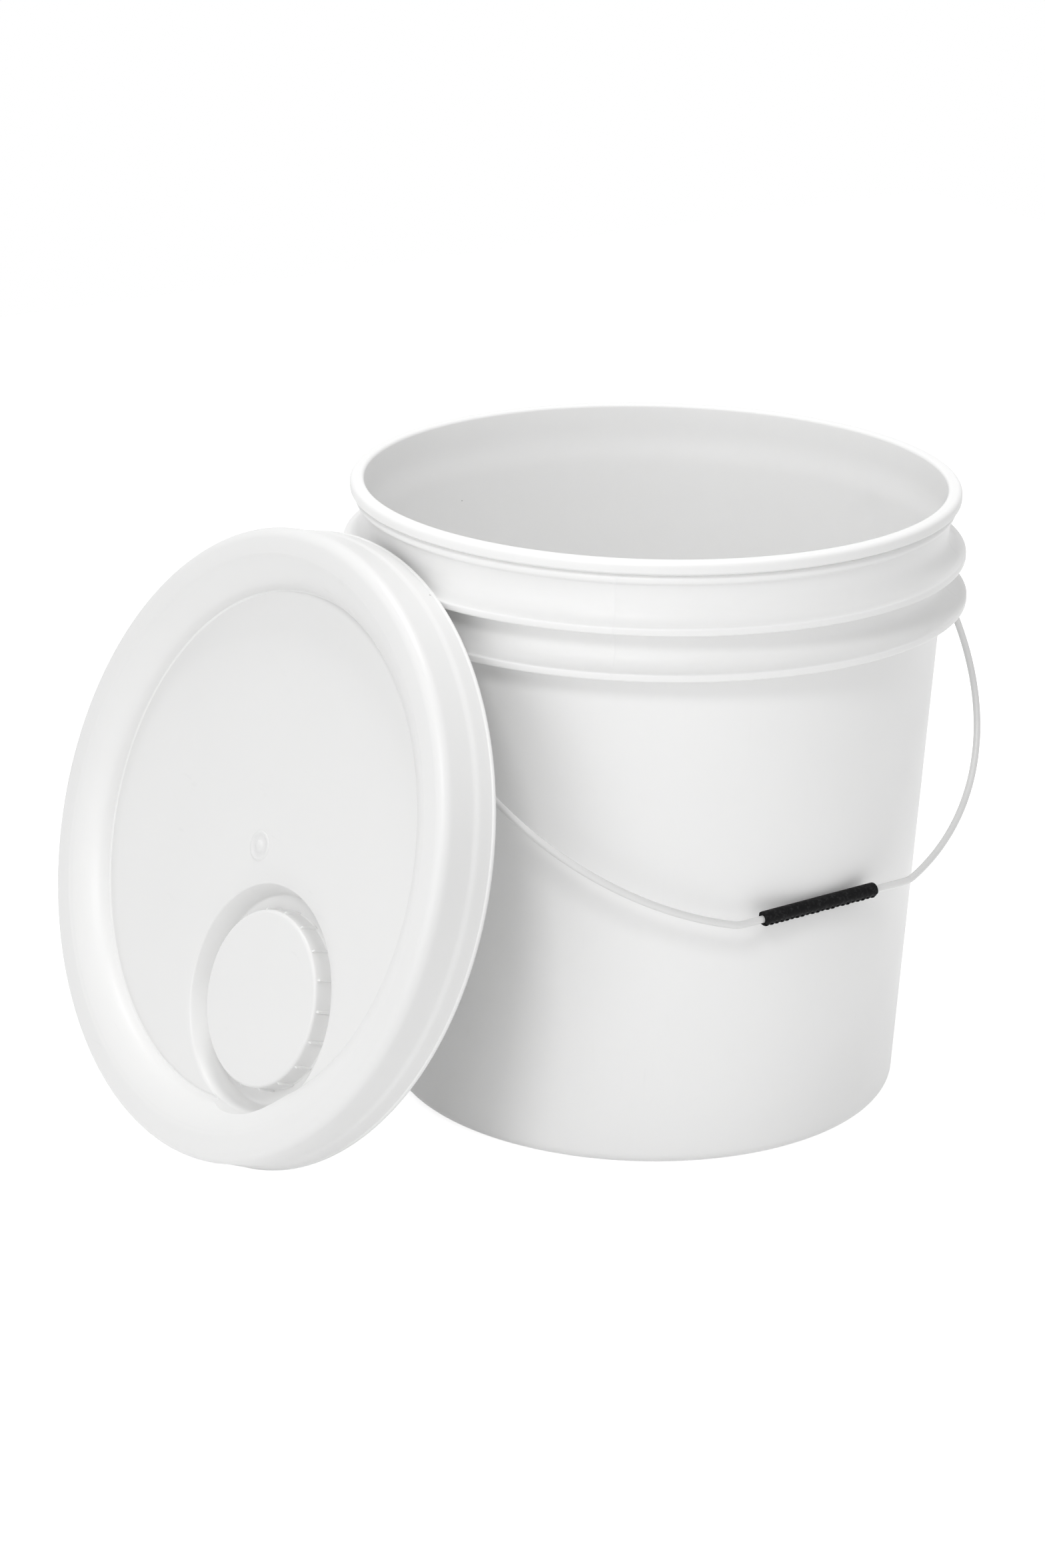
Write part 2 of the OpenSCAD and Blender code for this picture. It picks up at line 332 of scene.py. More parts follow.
class Graph:
    """A small helper that adds nodes to a tree and links them."""

    def __init__(self, tree: bpy.types.NodeTree) -> None:
        """Wraps a node tree."""
        self.tree = tree

    def add(self, kind: str, links: dict | None = None, **settings: object) -> bpy.types.Node:
        """Adds a node.

        Args:
            kind: The node's type.
            links: Input name or number to a socket to link, or to a plain value.
            settings: Attributes to set on the node.

        Returns:
            The node.
        """
        node = self.tree.nodes.new(kind)
        for key, value in settings.items():
            setattr(node, key, value)
        self.feed(node, links or {})
        return node

    def feed(self, node: bpy.types.Node, links: dict) -> None:
        """Links each input of a node to a socket, or sets it to a plain value.

        Args:
            node: The node.
            links: Input name or number to a socket or a value.
        """
        for key, value in links.items():
            if isinstance(value, bpy.types.NodeSocket):
                self.tree.links.new(value, node.inputs[key])
            else:
                node.inputs[key].default_value = value

    def group(self, tree: bpy.types.NodeTree, links: dict) -> bpy.types.Node:
        """Places a node group with its own values."""
        return self.add("ShaderNodeGroup", links, node_tree=tree)

    def math(self, operation: str, first: object, second: object) -> bpy.types.NodeSocket:
        """Adds a Math node and returns its result."""
        return self.add("ShaderNodeMath", {0: first, 1: second}, operation=operation).outputs[0]

    def noise(self, place: object, scale: object, detail: float,
              roughness: float = 0.5) -> bpy.types.NodeSocket:
        """Adds a Noise Texture and returns its factor."""
        links = {"Vector": place, "Scale": scale, "Detail": detail, "Roughness": roughness}
        return self.add("ShaderNodeTexNoise", links).outputs[0]

    def span(self, value: object, start: float, end: float, first: float = 0.0,
             last: float = 1.0) -> bpy.types.NodeSocket:
        """Maps a value from the range start..end to first..last, clamped, and returns it."""
        return self.add("ShaderNodeMapRange", {0: value, 1: start, 2: end, 3: first, 4: last}).outputs[0]

    def bump(self, height: object, strength: float, depth: float) -> bpy.types.NodeSocket:
        """Adds a Bump node of a depth in metres and returns its normal."""
        links = {"Height": height, "Strength": strength, "Distance": depth}
        return self.add("ShaderNodeBump", links).outputs[0]


class Effects:
    """The node groups that more than one finish uses, each built once."""

    def __init__(self) -> None:
        """Builds the groups."""
        self.grain = self._moulded_grain()
        self.scuffs = self._scuffs()

    @staticmethod
    def _moulded_grain() -> bpy.types.NodeTree:
        """Moulded plastic: cloudy tone, fine orange peel and a broader swell.

        Returns:
            Group with Tone, Roughness and Height outputs.
        """
        tree, inside, outside = new_group(
            "moulded_grain",
            [Socket("Place", "NodeSocketVector"), Socket("Grain scale", "NodeSocketFloat", 900.0),
             Socket("Cloud scale", "NodeSocketFloat", 18.0), Socket("Tone depth", "NodeSocketFloat", 0.03),
             Socket("Base roughness", "NodeSocketFloat", 0.4)],
            [Socket("Tone", "NodeSocketFloat"), Socket("Roughness", "NodeSocketFloat"),
             Socket("Height", "NodeSocketFloat")])
        graph = Graph(tree)
        place = inside.outputs["Place"]
        cloud = graph.noise(place, inside.outputs["Cloud scale"], 4.0, 0.55)
        grain = graph.noise(place, inside.outputs["Grain scale"], 2.0, 0.6)
        swell = graph.noise(place, graph.math("MULTIPLY", inside.outputs["Grain scale"], 0.16), 2.0)
        drop = graph.math("MULTIPLY", cloud, inside.outputs["Tone depth"])
        tone = graph.math("SUBTRACT", 1.0, drop)
        rough = graph.math("ADD", inside.outputs["Base roughness"], graph.span(cloud, 0.3, 0.7, -0.05, 0.05))
        height = graph.math("ADD", graph.math("MULTIPLY", grain, 0.35), swell)
        graph.feed(outside, {"Tone": tone, "Roughness": rough, "Height": height})
        return tree

    @staticmethod
    def _scuffs() -> bpy.types.NodeTree:
        """Handling marks: thin dull scratches in patches, and rare dark specks of dust.

        Returns:
            Group with Scratch and Speck masks.
        """
        tree, inside, outside = new_group(
            "scuffs",
            [Socket("Place", "NodeSocketVector"), Socket("Amount", "NodeSocketFloat", 0.5),
             Socket("Speck size", "NodeSocketFloat", 0.03)],
            [Socket("Scratch", "NodeSocketFloat"), Socket("Speck", "NodeSocketFloat")])
        graph = Graph(tree)
        place = inside.outputs["Place"]
        drawn = graph.add("ShaderNodeMapping", {"Vector": place, "Rotation": (0.5, 0.3, 0.8),
                                                "Scale": (900.0, 60.0, 40.0)})
        streak = graph.noise(drawn.outputs[0], 1.0, 2.0, 0.6)
        patch = graph.noise(place, 22.0, 2.0)
        thin = graph.span(streak, 0.66, 0.72)
        where = graph.span(patch, 0.52, 0.66)
        scratch = graph.math("MULTIPLY", graph.math("MULTIPLY", thin, where), inside.outputs["Amount"])
        cells = graph.add("ShaderNodeTexVoronoi", {"Vector": place, "Scale": 42.0, "Randomness": 1.0})
        speck = graph.math("LESS_THAN", cells.outputs["Distance"], inside.outputs["Speck size"])
        rare = graph.math("GREATER_THAN", graph.noise(place, 30.0, 0.0), 0.6)
        graph.feed(outside, {"Scratch": scratch, "Speck": graph.math("MULTIPLY", speck, rare)})
        return tree


@dataclass(frozen=True)
class Finish:
    """What every finish has: a name, a colour, and how rough it is."""

    name: str
    colour: tuple[float, float, float]
    roughness: float

    def start(self) -> tuple[bpy.types.Material, Graph, bpy.types.Node, bpy.types.NodeSocket]:
        """Makes the material with its shader.

        Returns:
            The material, its graph, the Principled BSDF and the Object coordinates.
        """
        material = bpy.data.materials.new(self.name)
        material.use_nodes = True
        tree = material.node_tree
        tree.nodes.clear()
        graph = Graph(tree)
        shader = graph.add("ShaderNodeBsdfPrincipled")
        end = graph.add("ShaderNodeOutputMaterial")
        tree.links.new(shader.outputs[0], end.inputs["Surface"])
        place = graph.add("ShaderNodeTexCoord").outputs["Object"]
        return material, graph, shader, place

    @staticmethod
    def colour_times(graph: Graph, colour: tuple[float, ...],
                     factor: bpy.types.NodeSocket) -> bpy.types.NodeSocket:
        """A colour multiplied by a factor.

        Args:
            graph: The material's graph.
            colour: Red, green and blue.
            factor: Socket with the factor.

        Returns:
            The scaled colour.
        """
        node = graph.add("ShaderNodeVectorMath", {0: colour, "Scale": factor}, operation="SCALE")
        return node.outputs[0]


@dataclass(frozen=True)
class Polyethylene(Finish):
    """Satin moulded polyethylene with a soft skin, faint clouds, scuffs and dust."""

    effects: Effects
    scuff: float = 0.5
    speck: float = 0.03
    speck_dark: float = 0.5
    scratch_dark: float = 0.03
    scratch_dull: float = 0.2
    scratch_deep: float = 0.3
    seep: float = 0.12

    def build(self) -> bpy.types.Material:
        """Builds the material.

        Returns:
            The material.
        """
        material, graph, shader, place = self.start()
        grain = graph.group(self.effects.grain, {"Place": place, "Base roughness": self.roughness})
        scuffs = graph.group(self.effects.scuffs, {"Place": place, "Amount": self.scuff,
                                                   "Speck size": self.speck})
        scratch = scuffs.outputs["Scratch"]
        dark = graph.math("MULTIPLY", scuffs.outputs["Speck"], self.speck_dark)
        marks = graph.math("ADD", dark, graph.math("MULTIPLY", scratch, self.scratch_dark))
        tone = graph.math("MULTIPLY", grain.outputs["Tone"], graph.math("SUBTRACT", 1.0, marks))
        dull = graph.math("MULTIPLY", scratch, self.scratch_dull)
        rough = graph.math("ADD", grain.outputs["Roughness"], dull)
        cut = graph.math("MULTIPLY", scratch, self.scratch_deep)
        height = graph.math("SUBTRACT", grain.outputs["Height"], cut)
        graph.feed(shader, {
            "Base Color": self.colour_times(graph, self.colour, tone), "Roughness": rough,
            "Normal": graph.bump(height, 0.12, GRAIN_DEPTH), "IOR": 1.5, "Specular IOR Level": 0.45,
            "Subsurface Weight": self.seep, "Subsurface Radius": (1.0, 0.98, 0.92),
            "Subsurface Scale": 0.002})
        return material


@dataclass(frozen=True)
class Coating(Finish):
    """Thin plastic coating on wire: smooth, a little lumpy, glossier than the pail."""

    effects: Effects

    def build(self) -> bpy.types.Material:
        """Builds the material.

        Returns:
            The material.
        """
        material, graph, shader, place = self.start()
        grain = graph.group(self.effects.grain, {"Place": place, "Grain scale": 1400.0, "Cloud scale": 90.0,
                                                 "Tone depth": 0.06, "Base roughness": self.roughness})
        graph.feed(shader, {
            "Base Color": self.colour_times(graph, self.colour, grain.outputs["Tone"]),
            "Roughness": grain.outputs["Roughness"], "Coat Weight": 0.25, "Coat Roughness": 0.2,
            "Normal": graph.bump(grain.outputs["Height"], 0.2, GRAIN_DEPTH)})
        return material


@dataclass(frozen=True)
class SleeveRubber(Finish):
    """Black sleeve rubber, a lighter grey in patches on its ridge tops and smooth back: partly rubbed wear,
    partly a painted highlight that makes the ridges show.
    """

    effects: Effects
    rubbed_and_sheen: tuple[float, float, float] = (0.022, 0.022, 0.023)

    def build(self) -> bpy.types.Material:
        """Builds the material, which reads the mesh attribute ridge.

        Returns:
            The material.
        """
        material, graph, shader, place = self.start()
        ridge = graph.add("ShaderNodeAttribute", attribute_name="ridge").outputs["Fac"]
        grain = graph.group(self.effects.grain, {"Place": place, "Grain scale": 2600.0, "Cloud scale": 260.0,
                                                 "Base roughness": self.roughness})
        patch = graph.span(graph.noise(place, 700.0, 4.0, 0.65), 0.5, 0.7)
        # Painted highlight and rubbed wear: ridge tops and the smooth back mix to a lighter grey in patches.
        rubbed_and_sheen_mask = graph.math("MULTIPLY", graph.span(ridge, 0.7, 1.0), patch)
        tones = {0: rubbed_and_sheen_mask, 6: (*self.colour, 1.0), 7: (*self.rubbed_and_sheen, 1.0)}
        mix = graph.add("ShaderNodeMix", tones, data_type="RGBA")
        graph.feed(shader, {
            "Base Color": mix.outputs[2], "Roughness": grain.outputs["Roughness"], "Specular IOR Level": 0.1,
            "Normal": graph.bump(grain.outputs["Height"], 0.5, GRAIN_DEPTH)})
        return material


@dataclass(frozen=True)
class Foam(Finish):
    """Foamed gasket ring with small open pores, their middles painted darker as shade."""

    def build(self) -> bpy.types.Material:
        """Builds the material.

        Returns:
            The material.
        """
        material, graph, shader, place = self.start()
        pores = graph.add("ShaderNodeTexVoronoi", {"Vector": place, "Scale": 1500.0}).outputs["Distance"]
        # Painted shade in the pores: the colour falls to 0.86 of itself at each pore's middle, and the
        # roughness rises there.
        pore_shade = graph.span(pores, 0.1, 0.5, 0.86, 1.0)
        rough = graph.span(pore_shade, 0.86, 1.0, self.roughness + 0.1, self.roughness)
        graph.feed(shader, {"Base Color": self.colour_times(graph, self.colour, pore_shade), "Roughness": rough,
                            "Normal": graph.bump(pores, 0.5, 0.0003)})
        return material


# ---------------------------------------------------------------- sub-assemblies


class Assembly:
    """A sub-assembly: it dresses its pieces and sets them on their bodies."""

    def dress(self, piece: bpy.types.Object, material: bpy.types.Material, body: Body, slot: Slot,
              node: str | None = None) -> None:
        """Gives a finished piece its material and body, and hides the CAD node that it stands for.

        Args:
            piece: The piece, in place.
            material: Its finish.
            body: Body that it rides on.
            slot: Material slot in the record; not used.
            node: CAD node that it replaces, or None for a detail.
        """
        crease(piece)
        piece.data.materials.append(material)
        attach(piece, body.value)
        if node:
            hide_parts(node)
        LOG.info("%s: %d faces on %s", piece.name, len(piece.data.polygons), body.value)


@dataclass
class Pail(Assembly):
    """The moulded pail: tapered wall, rolled lip, snap bead, two flared ribs, ears and a ringed foot."""

    lip_d: float = 234.0
    height: float = 243.0
    base_d: float = 200.6
    wall: float = 2.0
    lip_h: float = 4.8
    lip_proud: float = 3.4
    upper_rib_drop: float = 26.9
    lower_rib_drop: float = 43.8
    rib_proud: float = 8.4
    rib_flare: float = 10.5
    rib_edge: float = 3.0
    rib_nose: float = 0.8
    rib_step: float = 1.0
    foot_r: float = 5.0
    foot_width: float = 5.0
    floor_lift: float = 3.0
    floor: float = 2.2
    fillet: float = 6.0
    land: float = 9.0
    step_run: float = 14.0
    lip_round: float = 1.4
    snap_r: float = 1.75
    snap_proud: float = 1.9
    seam_proud: float = 0.16
    seam_half: float = 0.3
    sink_depth: float = 0.35
    sink_width: float = 5.0
    sink_low: float = 4.0
    ear_w: float = 24.0
    ear_proud: float = 0.3
    around: int = 256
    material: bpy.types.Material | None = None

    @property
    def lip_r(self) -> float:
        """Radius of the lip."""
        return self.lip_d / 2

    @property
    def wall_top_r(self) -> float:
        """Radius of the wall at the lip's height."""
        return self.lip_r - self.lip_proud

    @property
    def taper(self) -> float:
        """Growth of the wall's radius with height."""
        return (self.wall_top_r - self.base_d / 2) / self.height

    def wall_r(self, z: float) -> float:
        """Outside radius of the wall at height z."""
        return self.base_d / 2 + self.taper * z

    def rib_r(self, upper: bool) -> float:
        """Outside radius of the upper or the lower rib."""
        return self.wall_r(self.rib_z(upper)) + self.rib_proud + (-self.rib_step if upper else self.rib_step)

    @property
    def mouth_r(self) -> float:
        """Inside radius at the mouth."""
        return self.wall_top_r - self.wall

    @property
    def ear_face(self) -> float:
        """Distance of an ear's face from the pail's middle."""
        return self.rib_r(True) + self.ear_proud

    def rib_z(self, upper: bool) -> float:
        """Height of the lower edge of the upper or the lower rib."""
        return self.height - (self.upper_rib_drop if upper else self.lower_rib_drop)

    def rib(self, upper: bool) -> Array:
        """Outline of a rib: a lip underneath, a rounded nose, and a quarter ellipse up to the wall.

        Args:
            upper: True for the upper rib.

        Returns:
            Points from the wall below the rib to the wall above it.
        """
        z, r, nose = self.rib_z(upper), self.rib_r(upper), self.rib_nose
        high = z + self.rib_flare
        low, out, root = z + self.rib_edge - 0.2, r - 0.9, self.wall_r(high)
        turn = np.radians(np.linspace(80, 0, 15))
        flare = np.column_stack([out - (out - root) * np.cos(turn), high - (high - low) * np.sin(turn)])
        wall = self.wall_r(z)
        under = [[self.wall_r(z - 1), z - 1], [wall + 0.1, z + 1.9], [wall + 0.9, z + 2.7],
                 [r - 3.9, z + 2.1], [r - 3.2, z + 1.6], [r - 2.9, z + 0.4], [r - 2.5, z + 0.08],
                 [r - 2.0, z]]
        return outline(under, arc((r - nose, z + nose), nose, -90, 0, 5),
                       arc((r - nose, z + self.rib_edge - nose), nose, 0, 60, 4), flare)

    def outside(self) -> Array:
        """Outline from the middle of the underside, round the foot and up to the top of the lip.

        Returns:
            Points of radius and height.
        """
        foot_in = self.base_d / 2 - self.foot_r - self.foot_width
        lift, top, lip = self.floor_lift, self.wall_top_r, self.height - self.lip_h
        bead_z = lip - 1 - self.snap_r
        bead_r = self.wall_r(bead_z) + self.snap_proud - self.snap_r
        gate = [[0, lift - 0.9], [2.4, lift - 0.9], [3.0, lift - 0.5], [3.4, lift]]
        insert = [[14, lift], [14.4, lift - 0.3], [15.4, lift - 0.3], [15.8, lift]]
        ring = [[foot_in - 6, lift], [foot_in - 4, lift - 0.2], [foot_in - 1.2, 0.5], [foot_in - 0.6, 0.1],
                [foot_in, 0]]
        foot = arc((self.wall_r(self.foot_r) - self.foot_r, self.foot_r), self.foot_r, -90, 0, 10)
        low_z = self.rib_z(False) - 1
        wall = line((self.wall_r(self.foot_r + 1), self.foot_r + 1), (self.wall_r(low_z), low_z), 40)
        bead = arc((bead_r, bead_z), self.snap_r, -74, 74, 10)
        lip_edge = [[top + 0.9, lip - 0.5], [top + 0.9, lip]]
        return outline(gate, insert, ring, foot, wall, self.rib(False), self.rib(True),
                       [[self.wall_r(bead_z) + 0.05, bead_z - self.snap_r - 0.6]], bead, lip_edge,
                       arc((self.lip_r - 1, lip + 1), 1, -90, 0, 5),
                       arc((self.lip_r - 2, self.height - 2), 2, 0, 90, 8))

    def inside(self) -> Array:
        """Outline from the top of the lip, down the inner wall and across the floor to its middle.

        Returns:
            Points of radius and height.
        """
        top, floor = self.mouth_r, self.floor_lift + self.floor
        corner = self.wall_r(floor) - self.wall - self.fillet + self.taper * self.fillet
        step_z, r = self.height - self.land - 1, self.lip_round
        rim = arc((top + r, self.height - r), r, 90, 180, 6)
        share = np.linspace(0.0, 1.0, 9)
        deep = step_z - self.step_run * share
        inner = self.base_d / 2 + self.taper * deep - self.wall
        step = np.column_stack([inner + (top - inner) * (1 - smooth(share)), deep])
        high, low = step_z - self.step_run - 1, floor + self.fillet
        wall = line((self.wall_r(high) - self.wall, high), (self.wall_r(low) - self.wall, low), 70)
        ring = [[60, floor], [59, floor + 0.25], [57.6, floor + 0.25], [56.6, floor]]
        gate = [[9, floor], [8.6, floor + 0.3], [4.2, floor + 0.3], [3.8, floor + 0.8], [0, floor + 0.8]]
        return outline(rim, step, wall, arc((corner, low), self.fillet, 0, -90, 9), ring, gate)

    def swell(self, profile: Array, angles: Array, seams: Array, ears: Array) -> Array:
        """How much the surface grows outwards: mould seams on the neck and sinks behind the ears.

        A seam is a ridge h (1 - d / w) of the distance d from it. A sink is a bell curve of the
        distance from a point a little under the upper rib's edge.

        Args:
            profile: The pail's whole outline.
            angles: Angles of the columns.
            seams: Angles of the seams.
            ears: Angles of the ears.

        Returns:
            Share of the radius to add, one a point and column.
        """
        r, z = profile[:, :1], profile[:, 1:]
        outer = (np.arange(len(profile)) < len(self.outside()))[:, None]
        neck = outer & (z > self.rib_z(False) + 1.5) & (z < self.height - self.lip_h + 0.4)
        away = turn_to(angles, seams) * self.lip_r
        ridge = self.seam_proud * np.where(neck, 1.0, 0.0) * np.clip(1 - away / self.seam_half / 2, 0, 1)
        reach = np.hypot(turn_to(angles, ears)[None, :] * self.lip_r, z - self.rib_z(True) + self.sink_low)
        sink = self.sink_depth * bell(reach, self.sink_width) * np.where(outer, 0.0, 1.0)
        return (ridge + sink) / np.maximum(r, 1.0)

    def build(self) -> None:
        """Builds the pail as one closed lathe surface, with seams and sink marks, and then its ears."""
        profile = outline(self.outside(), self.inside())
        seams, ears = np.radians([45, 135, 225, 315]), np.radians([0, 180])
        fine = np.radians([-0.32, -0.2, -0.08, 0.08, 0.2, 0.32])
        angles = columns(self.around, np.concatenate([seams, ears]), fine)
        grid = lathe(profile, angles)
        grid[..., :2] *= 1 + self.swell(profile, angles, seams, ears)[..., None]
        piece = skin("pail_shell", grid * MM, True, True)
        self.dress(piece, self.material, Body.BUCKET, Slot.BUCKET, "bucket")
        for side in (1, -1):
            self.build_ear(side)

    def build_ear(self, side: int) -> None:
        """Builds one ear: a rounded block between the ribs with a raised ring round the wire.

        Rings run from a rounded square at the wall to a circle at the wire, each a superellipse
        |y/a|^p + |z/b|^p = 1 whose power p falls from 8 to 2.

        Args:
            side: 1 for the ear on +X, -1 for the other.
        """
        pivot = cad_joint("bail_swing")[0][2] / MM
        low, high = self.rib_z(False) + self.rib_edge - 0.6, self.rib_z(True) + 1
        face, root = self.ear_face, self.wall_r(pivot) - 0.7
        middle, half = (low + high) / 2, (high - low) / 2
        wide = self.ear_w / 2
        # block: depth, half width, half height and power; collar: depth past the face and radius
        block = [[root, wide, half, 8], [face - 1.0, wide, half, 8], [face - 0.3, wide - 0.25, half - 0.1, 7],
                 [face, wide - 0.9, half - 0.4, 6], [face, wide - 1.8, half - 0.9, 6],
                 [face - 0.5, wide - 2.3, half - 1.3, 5]]
        collar = [[-0.42, 4.9], [0.1, 4.5], [0.25, 4.1], [0.25, 2.5], [0.05, 2.0], [-2.2, 1.9], [-2.4, 0]]
        rings = np.array([[*row, middle] for row in block] + [[face - 0.5, 5.4, 5.2, 2.2, pivot]]
                         + [[face + past, r, r, 2, pivot] for past, r in collar])
        turn = np.linspace(0, 2 * np.pi, 96, endpoint=False)
        depth, a, b, power, centre = (rings[:, k:k + 1] for k in range(5))
        cos, sin = np.cos(turn)[None, :], np.sin(turn)[None, :]
        y = a * np.sign(cos) * np.abs(cos) ** (2 / power)
        z = centre + b * np.sign(sin) * np.abs(sin) ** (2 / power)
        grid = np.stack([side * (depth + 0 * y), side * y, z], axis=-1) * MM
        grid = np.concatenate([grid[:1], grid], axis=0)
        piece = skin("ear_right" if side > 0 else "ear_left", grid, True, True)
        self.dress(piece, self.material, Body.BUCKET, Slot.BUCKET)


@dataclass
class Bail(Assembly):
    """The wire bail and its split grip, in the plane through the ears and the grip."""

    ear_face: float
    wire_d: float = 2.8
    ear_bend: float = 3.0
    pin_proud: float = 0.6
    pin_l: float = 6.13
    arc_centre: float = 32.5
    shoulder: float = 15.0
    grip_l: float = 54.0
    grip_d: float = 5.8
    grip_clear: float = 0.08
    grip_shift: float = -3.3
    ridges: int = 22
    ridge: float = 0.8
    slit: float = 0.75
    wire_material: bpy.types.Material | None = None
    grip_material: bpy.types.Material | None = None

    @property
    def pin_out(self) -> float:
        """Distance from the pail's middle to where a pin leaves its bend."""
        return self.ear_face + self.pin_proud

    @property
    def place(self) -> Place:
        """The bail's plane: x along the ears, y down to the grip, z across the plane."""
        ear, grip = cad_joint("bail_swing")[0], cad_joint("grip_spin")[0]
        x, y = np.array([1.0, 0, 0]), unit(grip - ear)
        return Place(ear, x, y, np.cross(x, y))

    @property
    def drop(self) -> float:
        """Distance from the ears' axis to the straight run."""
        return float(np.linalg.norm(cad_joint("grip_spin")[0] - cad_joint("bail_swing")[0])) / MM

    def centre_line(self) -> Array:
        """Half of the wire's centre line in its plane, from the middle of the run to the pin's end.

        A straight run, a shoulder bend, a large arc and a small bend, each tangent to the next.

        Returns:
            Array of (x, y) points.
        """
        bow = self.ear_bend + math.hypot(self.pin_out, self.arc_centre - self.ear_bend)
        rise = self.drop - self.shoulder - self.arc_centre
        run = math.sqrt((bow - self.shoulder) ** 2 - rise ** 2)
        from_run = math.degrees(math.atan2(rise, run))
        from_ear = math.degrees(math.atan2(self.ear_bend - self.arc_centre, self.pin_out))
        return outline(line((0, self.drop), (run, self.drop), 16),
                       arc((run, self.drop - self.shoulder), self.shoulder, 90, from_run, 10),
                       arc((0, self.arc_centre), bow, from_run, from_ear, 60),
                       arc((self.pin_out, self.ear_bend), self.ear_bend, from_ear, -90, 10),
                       line((self.pin_out, 0), (self.pin_out - self.pin_l, 0), 4))

    def build(self) -> None:
        """Builds the wire and the grip."""
        self.build_wire()
        self.build_grip()

    def build_wire(self) -> None:
        """Carries a circle along the centre line: point + r (cos v normal + sin v across).

        The ends are half domes.
        """
        half = self.centre_line()
        path = np.vstack([half[::-1] * [-1, 1], half[1:]])
        path = np.column_stack([path, np.zeros(len(path))])
        ahead = np.gradient(path, axis=0)
        ahead /= np.linalg.norm(ahead, axis=1, keepdims=True)
        across = np.array([0.0, 0, 1])
        normal = np.cross(across, ahead)
        r = self.wire_d / 2
        dome = np.radians(np.array([90, 60, 30]))
        start = path[:1] - r * 0.5 * np.sin(dome)[:, None] * ahead[:1]
        end = path[-1:] + r * 0.5 * np.sin(dome[::-1])[:, None] * ahead[-1:]
        centres = np.vstack([start, path, end])
        normals = np.vstack([np.repeat(normal[:1], 3, 0), normal, np.repeat(normal[-1:], 3, 0)])
        radii = np.concatenate([np.cos(dome), np.ones(len(path)), np.cos(dome[::-1])]) * r
        turn = np.linspace(0, 2 * np.pi, 20, endpoint=False)[None, :, None]
        circle = np.cos(turn) * normals[:, None] + np.sin(turn) * across
        grid = centres[:, None] + radii[:, None, None] * circle
        piece = skin("bail_wire_coated", self.place.put(grid), True, True)
        self.dress(piece, self.wire_material, Body.BAIL, Slot.WIRE, "bail_wire")

    def build_grip(self) -> None:
        """Carries a C-shaped section along the run.

        The outer radius is R - d (1 - s) on the ridged side, where s is the size of the sine of the
        ridge's phase, and plain R on the smooth back; a smooth step of the angle blends the two.
        """
        length, outer, inner = self.grip_l, self.grip_d / 2, self.wire_d / 2 + self.grip_clear
        steps = self.ridges * 10
        middle = np.linspace(0.8, length - 0.8, steps)
        along = np.concatenate([[0, 0, 0.3], middle, [length - 0.3, length, length]])
        gap = self.slit / outer / 2
        outside = np.linspace(gap, 2 * np.pi - gap, 72)
        inside = np.linspace(2 * np.pi - gap * 1.6, gap * 1.6, 28)
        turn = np.concatenate([outside, inside])
        is_out = np.concatenate([np.ones(72), np.zeros(28)])[None, :]
        phase = along[:, None] / length * self.ridges * np.pi
        crest = np.abs(np.sin(phase))
        toward = 0.5 - 0.5 * np.cos(turn - math.radians(75))
        ribbed = smooth((0.72 - toward) / 0.35)[None, :]
        wander = 0.09 * np.sin(phase * 2.7 + turn[None, :] * 3) + 0.05 * np.sin(phase * 0.61 + 1.3)
        rough = outer - self.ridge * (1 - crest) * ribbed + wander * ribbed * crest
        radius = is_out * rough + (1 - is_out) * inner
        mean = (outer + inner) / 2
        shrink = np.array([1.0, 0.18, 0.04] + [0.0] * steps + [0.04, 0.18, 1.0])[:, None]
        radius = radius + (mean - radius) * shrink
        offset = along - length / 2 + self.grip_shift
        level, across = self.drop + radius * np.cos(turn), radius * np.sin(turn)
        grid = np.stack([offset[:, None] + 0 * turn, level, across], axis=-1)
        piece = skin("bail_grip_sleeve", self.place.put(grid), False, False)
        # Ridge mask for the sleeve's lighter patches, a painted highlight that is partly rubbed wear: 1 on
        # ridge crests and the smooth back, 0 in the grooves and the bore.
        tone = (crest * ribbed + (1 - ribbed)) * is_out + 0 * radius
        mark = piece.data.attributes.new("ridge", "FLOAT", "POINT")
        mark.data.foreach_set("value", np.ascontiguousarray(tone.ravel(), np.float32))
        self.dress(piece, self.grip_material, Body.GRIP, Slot.GRIP, "bail_grip")


